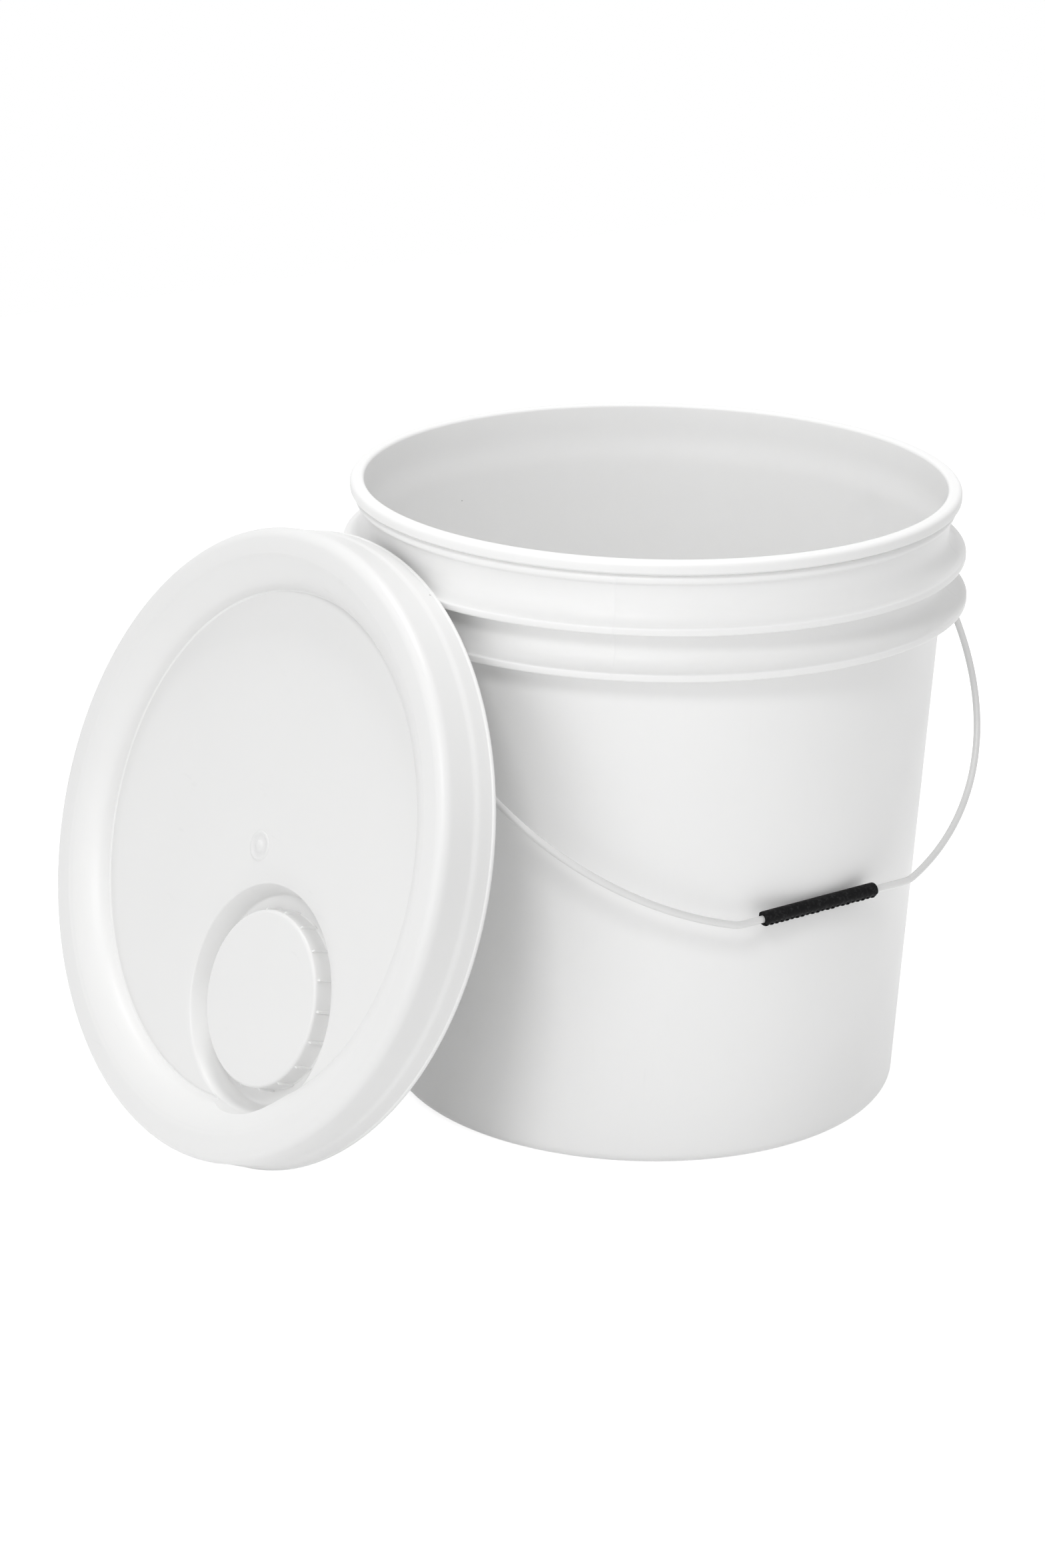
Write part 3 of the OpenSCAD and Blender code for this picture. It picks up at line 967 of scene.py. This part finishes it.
@dataclass
class Lid(Assembly):
    """The lid: a rounded crown, a sunken panel with a spout well and boss, a skirt and a gasket."""

    lip_r: float
    mouth_r: float
    clear: float = 0.4
    shell: float = 1.9
    depth: float = 24.0
    panel_depth: float = 11.0
    crown_flank: float = 11.2
    land_drop: float = 9.3
    crown_round: float = 4.5
    band_step: float = 0.8
    band_top: float = 14.5
    edge_bead: float = 0.7
    bead_r: float = 0.95
    plug_clear: float = 0.7
    plug_wall: float = 1.8
    plug_depth: float = 12.5
    snap_z: float = 13.8
    snap: float = 2.4
    well_d: float = 85.5
    well_depth: float = 9.0
    well_draft: float = 3.0
    well_overrun: float = 3.75
    well_round: float = 0.7
    well_turn: float = -66.7
    trough_w: float = 9.45
    boss_sink: float = 0.3
    boss_round: float = 1.4
    boss_ribs: int = 18
    rib_proud: float = 0.8
    rib_half: float = 0.4
    gasket: float = 2.2
    around: int = 240
    material: bpy.types.Material | None = None
    gasket_material: bpy.types.Material | None = None

    @property
    def place(self) -> Place:
        """The lid's own axes: z out of its face, x level, origin at the middle of its crown.

        Returns:
            The frame in which the lid's outlines are given.
        """
        floor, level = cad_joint("lid_tip")
        mount = next(m for m in FRAME["record"]["mounts"] if m["name"] == "boss_face")
        z = unit(np.array(mount["axis"], float))
        y = np.cross(z, level)
        return Place(floor + MM * (self.skirt_r * y + self.depth * z), level, y, z)

    @property
    def skirt_in(self) -> float:
        """Inside radius of the skirt."""
        return self.lip_r + self.clear

    @property
    def skirt_out(self) -> float:
        """Outside radius of the skirt under the crown."""
        return self.skirt_in + self.shell

    @property
    def skirt_r(self) -> float:
        """Outside radius of the bead at the open edge."""
        return self.skirt_out + self.band_step + self.edge_bead

    @property
    def land_r(self) -> float:
        """Radius where the crown turns down to the panel."""
        return self.lip_r - self.land_drop

    @property
    def panel_r(self) -> float:
        """Radius of the sunken panel."""
        return self.land_r - self.crown_flank

    @property
    def plug_out(self) -> float:
        """Outside radius of the ring that goes into the mouth."""
        return self.mouth_r - self.plug_clear

    @property
    def boss_r(self) -> float:
        """Radius of the boss in the well."""
        return self.well_d / 2 - self.trough_w

    @property
    def boss_top(self) -> float:
        """Height of the boss's face."""
        return -self.panel_depth - self.boss_sink

    @property
    def well_floor(self) -> float:
        """Height of the well's floor."""
        return -self.panel_depth - self.well_depth

    @property
    def well_centre(self) -> Array:
        """The well's middle: the well runs a little past the panel's edge."""
        tilt = math.radians(self.well_turn)
        offset = self.panel_r + self.well_overrun - self.well_d / 2
        return offset * np.array([math.cos(tilt), math.sin(tilt)])

    def crown(self) -> Array:
        """Outline of the top from the panel's edge over the crown and down to the open edge.

        Returns:
            Points of radius and height.
        """
        panel, land, out = self.panel_r, self.land_r, self.skirt_out
        foot, band_z = -self.panel_depth, -self.band_top
        inner = [[panel - 1.1, foot], [panel - 0.7, foot - 0.3], [panel + 0.1, foot - 0.35],
                 [panel + 0.35, foot + 0.2]]
        share = np.linspace(0.07, 1.0, 16)
        roll = 0.68 * np.sqrt(1 - (1 - share) ** 2) + 0.32 * share
        flank = np.column_stack([panel + self.crown_flank * share, foot * (1 - roll) - 0.3 * share])
        top = [[land + 0.8, -0.1], [land + 1.6, 0.0]]
        edge, r, step = self.depth, self.crown_round, out + self.band_step
        band = [[out + 0.14, band_z + 0.5], [out + 0.22, band_z], [out + 0.45, band_z - 0.7],
                [out + 0.65, band_z - 1.3], [step, band_z - 1.9]]
        bead = arc((self.skirt_r - self.bead_r, self.bead_r - edge), self.bead_r, 62, -90, 9)
        return outline(inner, flank, top, arc((out - r, -r), r, 90, 4, 12),
                       line((out, -r - 1), (out + 0.1, band_z + 1), 5), band,
                       line((step + 0.05, band_z - 2.6), (step + 0.15, 2.1 - edge), 3), bead)

    def under(self) -> Array:
        """Outline of the underside from the open edge, through the channel, to the crown's flank.

        Returns:
            Points of radius and height.
        """
        inn, shell, edge = self.skirt_in, self.shell, self.depth
        plug, inside, plug_z = self.plug_out, self.plug_out - self.plug_wall, -self.plug_depth
        snap = -self.snap_z
        rim = [[inn + 1.2, -edge + 0.05], [inn + 0.6, 0.6 - edge], [inn + 0.3, 1.4 - edge]]
        catch = [[inn, snap - 3.2], [inn - self.snap + 0.3, snap - 1.3], [inn - self.snap, snap - 0.9],
                 [inn - self.snap, snap - 0.5], [inn - self.snap + 0.4, snap - 0.2], [inn, snap]]
        channel = [[inn, -shell - 0.6], [inn - 0.6, -shell], [plug + 0.6, -shell], [plug, -shell - 0.6]]
        ring = [[plug, plug_z + 1.5], [plug - 0.5, plug_z + 0.1], [inside + 0.4, plug_z],
                [inside, plug_z + 0.4], [inside, -shell - 1.4], [inside - 0.8, -shell - 0.5],
                [self.land_r + 0.5, -shell - 0.4]]
        return outline(rim, line((inn + 0.2, 2.4 - edge), (inn, snap - 3.4), 3), catch,
                       line((inn, snap + 1), (inn, -shell - 1.5), 3), channel, ring)

    def under_flank(self) -> Array:
        """Outline of the underside from the crown's flank to the panel's edge."""
        panel, low = self.panel_r, -self.panel_depth - self.shell
        return outline([[self.land_r - 0.8, -self.shell - 1.0], [panel + 1.2, low + 0.9],
                        [panel + 0.2, low + 0.2], [panel - 0.9, low]])

    @staticmethod
    def height_on(profile: Array, radius: Array) -> Array:
        """Height of an outline at given radii, read off between its points, level inside it.

        Args:
            profile: Outline of (radius, height) points.
            radius: Radii to read.

        Returns:
            Heights, in the shape of radius.
        """
        order = np.argsort(profile[:, 0])
        return np.interp(radius, profile[order, 0], profile[order, 1])

    def cast(self, centre: Array, ray: Array, rho: float, least: float) -> Array:
        """Distance along rays from the well's middle to a circle about the lid's middle.

        It is the root t of |c + t d| = rho, never less than the given radius round the well.

        Args:
            centre: The well's middle c.
            ray: Unit directions d, one a column.
            rho: Radius of the circle about the lid's middle.
            least: Smallest distance allowed.

        Returns:
            One distance a column.
        """
        along = ray @ centre
        root = np.sqrt(np.maximum(along ** 2 - centre @ centre + rho ** 2, 0))
        return np.maximum(root - along, least)

    def bowl_rows(self, centre: Array, ray: Array, start_r: float, profile: Array, lift: float) -> Array:
        """Rows between the well's edge and the crown's land, which lie on the crown's outline.

        Args:
            centre: The well's middle.
            ray: Unit directions from it.
            start_r: Radius about the well's middle where the rows start.
            profile: Outline that gives the height at each distance from the lid's middle.
            lift: Height added at the first row, so that the well's edge is rounded.

        Returns:
            Grid of points shaped (rows, columns, 3), from the well outwards.
        """
        rims = np.unique(profile[:, 0])
        rims = rims[rims > self.panel_r - 1.5]
        panel_run = self.cast(centre, ray, rims[0], start_r) - start_r
        spread = [start_r + share * panel_run for share in np.linspace(0, 1, 13)[:-1]]
        reach = spread + [self.cast(centre, ray, rho, start_r) for rho in rims]
        reach = np.maximum.accumulate(np.array(reach) + np.arange(len(reach))[:, None] * 0.012, axis=0)
        points = centre + reach[..., None] * ray[None]
        z = self.height_on(profile, np.linalg.norm(points, axis=-1))
        z[0] -= lift
        return np.concatenate([points, z[..., None]], axis=-1)

    def ring_rows(self, centre: Array, ray: Array, profile: Array, swell: Array | None = None) -> Array:
        """Rings about the well's middle, one for each point of an outline.

        Args:
            centre: The well's middle.
            ray: Unit directions from it.
            profile: Outline of (radius, height) points.
            swell: Growth of the radius at each ring and column.

        Returns:
            Grid of points shaped (outline points, columns, 3).
        """
        r = profile[:, :1] + (0 if swell is None else swell)
        points = centre + r[..., None] * ray[None]
        z = np.broadcast_to(profile[:, 1:], points.shape[:2])
        return np.concatenate([points, z[..., None]], axis=-1)

    def outer_rows(self, centre: Array, ray: Array, profile: Array) -> Array:
        """Rings about the lid's middle, at the angles where the rays cross the crown's land.

        Args:
            centre: The well's middle.
            ray: Unit directions from it.
            profile: Outline of (radius, height) points.

        Returns:
            Grid of points shaped (outline points, columns, 3).
        """
        crossing = centre + self.cast(centre, ray, self.land_r, 0.0)[:, None] * ray
        turn = np.arctan2(crossing[:, 1], crossing[:, 0])
        return lathe(profile, turn)

    def spout(self) -> Array:
        """Outline about the well's middle: over the boss, across the well's floor and up its wall.

        Returns:
            Points of radius and height.
        """
        boss, well, r = self.boss_r, self.well_d / 2, self.boss_round
        top, deep = self.boss_top, self.well_floor
        foot = well - self.well_draft
        return outline([[0, top], [8, top], [20, top]], arc((boss - r, top - r), r, 90, 0, 7),
                       line((boss + 0.02, top - 2), (boss + 0.15, deep + 2.2), 3),
                       line((boss + 0.2, deep + 1.6), (boss + 0.3, deep + 0.5), 2),
                       [[boss + 0.8, deep], [foot - 1.2, deep]],
                       arc((foot - 1.3, deep + 1.3), 1.3, -80, -14, 4),
                       line((foot + 0.1, deep + 1.8), (well, -self.panel_depth - 0.9), 5),
                       [[well + 0.25, -self.panel_depth - 0.35]])

    def hollow(self) -> Array:
        """Outline about the well's middle: under the well and up into the boss.

        Returns:
            Points of radius and height.
        """
        wall, boss = self.well_d / 2 + self.shell, self.boss_r - self.shell
        low, high = self.well_floor - self.shell, self.boss_top - self.shell
        foot = wall - self.well_draft
        return outline([[wall, -self.panel_depth - self.shell - 0.2], [foot + 0.2, low + 0.6],
                        [foot - 0.5, low], [boss + 0.5, low], [boss, low + 0.5], [boss, high - 0.6],
                        [boss - 0.6, high], [12, high], [0, high]])

    def boss_swell(self, spout: Array, angles: Array, ribs: Array) -> Array:
        """Growth of the boss's side at its small ribs: their height times a clipped ramp of the turn.

        Args:
            spout: Outline of the boss and the well.
            angles: Angles of the columns.
            ribs: Angles of the ribs.

        Returns:
            Growth in millimetres, one a point and column.
        """
        r, z, reach = spout[:, 0], spout[:, 1], self.rib_half / self.boss_r
        on_side = (r > self.boss_r - 0.3) & (r < self.boss_r + 0.5) & (z < self.boss_top - 1.7)
        ramp = np.clip((reach * 1.35 - turn_to(angles, ribs)) / (reach * 0.45), 0, 1)
        return self.rib_proud * np.outer(on_side, ramp)

    def build(self) -> None:
        """Builds the moulding, the gate mark and the gasket."""
        self.build_moulding()
        self.build_gate()
        self.build_gasket()

    def build_moulding(self) -> None:
        """Builds one closed surface from the boss, over the crown and back to the boss's hollow."""
        centre, well = self.well_centre, self.well_d / 2
        ribs = (np.arange(self.boss_ribs) + 0.5) * 2 * np.pi / self.boss_ribs
        rib_edges = self.rib_half / self.boss_r * np.array([-1.35, -0.9, 0.9, 1.35])
        angles = columns(self.around, ribs, rib_edges)
        ray = np.column_stack([np.cos(angles), np.sin(angles)])
        spout, crown = self.spout(), self.crown()
        on_land = crown[:, 0] <= self.land_r + 1e-6
        grid = np.concatenate([
            self.ring_rows(centre, ray, spout, self.boss_swell(spout, angles, ribs)),
            self.bowl_rows(centre, ray, well + self.well_round, crown[on_land], 0.1),
            self.outer_rows(centre, ray, crown[~on_land]),
            self.outer_rows(centre, ray, self.under()),
            self.bowl_rows(centre, ray, well + self.shell, self.under_flank(), 0.0)[::-1],
            self.ring_rows(centre, ray, self.hollow())], axis=0)
        piece = skin("lid_moulding", self.place.put(grid)[:, ::-1], True, True)
        self.dress(piece, self.material, Body.LID, Slot.LID, "lid_shell")

    def build_gate(self) -> None:
        """Builds the low ring and nub in the panel's middle as one lathe surface sunk into the panel."""
        z = -self.panel_depth
        nub = [[0, z + 0.75], [1.2, z + 0.7], [1.9, z + 0.45], [2.4, z + 0.05]]
        ring = [[4.3, z + 0.02], [4.7, z + 0.28], [5.3, z + 0.28], [5.8, z], [6.0, z - 0.3], [0, z - 0.3]]
        turn = np.linspace(0, 2 * np.pi, 64, endpoint=False)
        piece = skin("lid_gate_mark", self.place.put(lathe(outline(nub, ring), turn))[:, ::-1], True, True)
        self.dress(piece, self.material, Body.LID, Slot.LID)

    def build_gasket(self) -> None:
        """Builds the ring in the channel: a rounded rectangle turned about the lid's axis."""
        low, high = -self.shell - self.gasket, -self.shell - 0.02
        inn, out, r = self.plug_out + 0.6, self.skirt_in - 0.6, 0.6
        section = outline(arc((out - r, low + r), r, -90, 0, 4), arc((out - r, high - r), r, 0, 90, 4),
                          arc((inn + r, high - r), r, 90, 180, 4), arc((inn + r, low + r), r, 180, 270, 4))
        turn = np.linspace(0, 2 * np.pi, 160, endpoint=False)
        piece = skin("lid_gasket_ring", self.place.put(lathe(section, turn)), False, False, close_rows=True)
        self.dress(piece, self.gasket_material, Body.LID, Slot.GASKET, "lid_gasket")


# ---------------------------------------------------------------- studio


@dataclass(frozen=True)
class Lamp:
    """A square soft lamp that faces the object.

    Its point and side are in metres, with -Y towards the camera, and its power is in watts.
    """

    name: str
    point: tuple[float, float, float]
    side: float
    power: float


@dataclass
class Studio:
    """A white floor, soft lamps and the camera, in metres, degrees and millimetres of lens."""

    distance: float = 1.4522
    height: float = 0.6371
    turn: float = 38.2
    yaw: float = -1.942
    pitch: float = 19.716
    roll: float = 0.859
    lens: float = 89.96
    world_strength: float = 0.56
    floor_glow: float = 0.72
    floor_half: float = 1.3
    aim: tuple[float, float, float] = (0.0, 0.0, 0.12)
    lamps: tuple[Lamp, ...] = (
        Lamp("key_lamp", (-0.35, -1.45, 1.45), 0.4, 7.4),
        Lamp("top_lamp", (-0.1, 0.1, 1.6), 0.5, 7.0),
        Lamp("front_lamp", (-0.8, -1.6, 0.3), 1.2, 5.4),
    )

    def build(self) -> None:
        """Builds the world, the floor, the lamps and the camera."""
        scene = bpy.context.scene
        scene.view_settings.view_transform = "Standard"
        self.build_world(scene)
        self.build_floor()
        for lamp in self.lamps:
            self.build_lamp(lamp)
        self.build_camera(scene)

    def build_world(self, scene: bpy.types.Scene) -> None:
        """Makes the world plain grey light to surfaces and white to the camera and to reflections.

        Args:
            scene: Scene that gets the world.
        """
        world = bpy.data.worlds.new("studio_world")
        world.use_nodes = True
        world.node_tree.nodes.clear()
        graph = Graph(world.node_tree)
        seen = self.seen_ray(graph)
        strength = graph.span(seen, 0.0, 1.0, self.world_strength, 1.0)
        light = graph.add("ShaderNodeBackground", {"Color": (1, 1, 1, 1), "Strength": strength})
        end = graph.add("ShaderNodeOutputWorld")
        graph.tree.links.new(light.outputs[0], end.inputs["Surface"])
        scene.world = world

    @staticmethod
    def seen_ray(graph: Graph) -> bpy.types.NodeSocket:
        """Tells seen rays from light.

        Args:
            graph: Graph of the world or of a material.

        Returns:
            1 for camera, glossy and transmission rays, 0 for the rest.
        """
        path = graph.add("ShaderNodeLightPath").outputs
        first = graph.math("MAXIMUM", path["Is Camera Ray"], path["Is Glossy Ray"])
        return graph.math("MAXIMUM", first, path["Is Transmission Ray"])

    def build_floor(self) -> None:
        """Builds a wide floor whose own colour is near white, lifted to white where it is seen."""
        size = self.floor_half
        points = np.array([[-size, -size, 0], [size, -size, 0], [size, size, 0], [-size, size, 0]])
        floor = mesh_of("studio_floor", points, np.array([[0, 1, 2, 3]]))
        material = bpy.data.materials.new("studio_floor")
        material.use_nodes = True
        material.node_tree.nodes.clear()
        graph = Graph(material.node_tree)
        matt = graph.add("ShaderNodeBsdfDiffuse", {"Color": (0.86, 0.86, 0.86, 1)})
        strength = graph.math("MULTIPLY", self.seen_ray(graph), self.floor_glow)
        glow = graph.add("ShaderNodeEmission", {"Color": (1, 1, 1, 1), "Strength": strength})
        both = graph.add("ShaderNodeAddShader", {0: matt.outputs[0], 1: glow.outputs[0]})
        end = graph.add("ShaderNodeOutputMaterial")
        graph.tree.links.new(both.outputs[0], end.inputs["Surface"])
        floor.data.materials.append(material)

    def around(self, point: tuple[float, float, float]) -> Vector:
        """Turns a point given from the camera's side into the frame."""
        return Matrix.Rotation(-math.radians(self.turn), 4, "Z") @ Vector(point)

    def build_lamp(self, lamp: Lamp) -> None:
        """Adds a square area lamp that faces the middle of the object.

        Args:
            lamp: Its name, point, side and power.
        """
        data = bpy.data.lights.new(lamp.name, "AREA")
        data.size = lamp.side
        data.energy = lamp.power
        thing = bpy.data.objects.new(lamp.name, data)
        thing.location = self.around(lamp.point)
        aim = Vector(self.aim) - thing.location
        thing.rotation_euler = aim.to_track_quat("-Z", "Y").to_euler()
        bpy.context.scene.collection.objects.link(thing)

    def build_camera(self, scene: bpy.types.Scene) -> None:
        """Adds the camera from its place, its yaw, pitch and roll, and its lens.

        Args:
            scene: Scene that gets the camera.
        """
        yaw, pitch, roll = (math.radians(v) for v in (self.yaw, self.pitch, self.roll))
        ahead = Vector((math.sin(yaw) * math.cos(pitch), math.cos(yaw) * math.cos(pitch), -math.sin(pitch)))
        level = Vector((math.cos(yaw), -math.sin(yaw), 0))
        above = level.cross(ahead)
        right = math.cos(roll) * level + math.sin(roll) * above
        up = math.cos(roll) * above - math.sin(roll) * level
        data = bpy.data.cameras.new("camera")
        data.lens = self.lens
        camera = bpy.data.objects.new("camera", data)
        turned = Matrix.Rotation(-math.radians(self.turn), 4, "Z")
        facing = Matrix((right, up, -ahead)).transposed().to_4x4()
        camera.matrix_world = turned @ Matrix.Translation((0, -self.distance, self.height)) @ facing
        scene.collection.objects.link(camera)
        scene.camera = camera


def main() -> None:
    """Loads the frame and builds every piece."""
    for thing in list(bpy.data.objects):
        bpy.data.objects.remove(thing)
    FRAME.update(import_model())
    effects = Effects()
    pail_white = Polyethylene("pail_polyethylene", (0.94, 0.94, 0.936), 0.42, effects)
    # Painted shade: the lid is the pail's white polyethylene set darker, 0.85 against 0.94, to stand for the
    # lid's weaker light.
    lid_white_shaded = Polyethylene("lid_polyethylene_shaded", (0.85, 0.85, 0.846), 0.4, effects, scuff=0.8, speck=0.02)
    wire_white = Coating("wire_coating", (0.8, 0.8, 0.795), 0.32, effects)
    rubber = SleeveRubber("sleeve_rubber", (0.004, 0.004, 0.0045), 0.55, effects)
    foam = Foam("gasket_foam", (0.74, 0.73, 0.68), 0.7)
    pail = Pail(material=pail_white.build())
    pail.build()
    Bail(pail.ear_face, wire_material=wire_white.build(), grip_material=rubber.build()).build()
    Lid(pail.lip_r, pail.mouth_r, material=lid_white_shaded.build(), gasket_material=foam.build()).build()
    Studio().build()


if __name__ == "__main__":
    logging.basicConfig(level=logging.INFO)
    main()
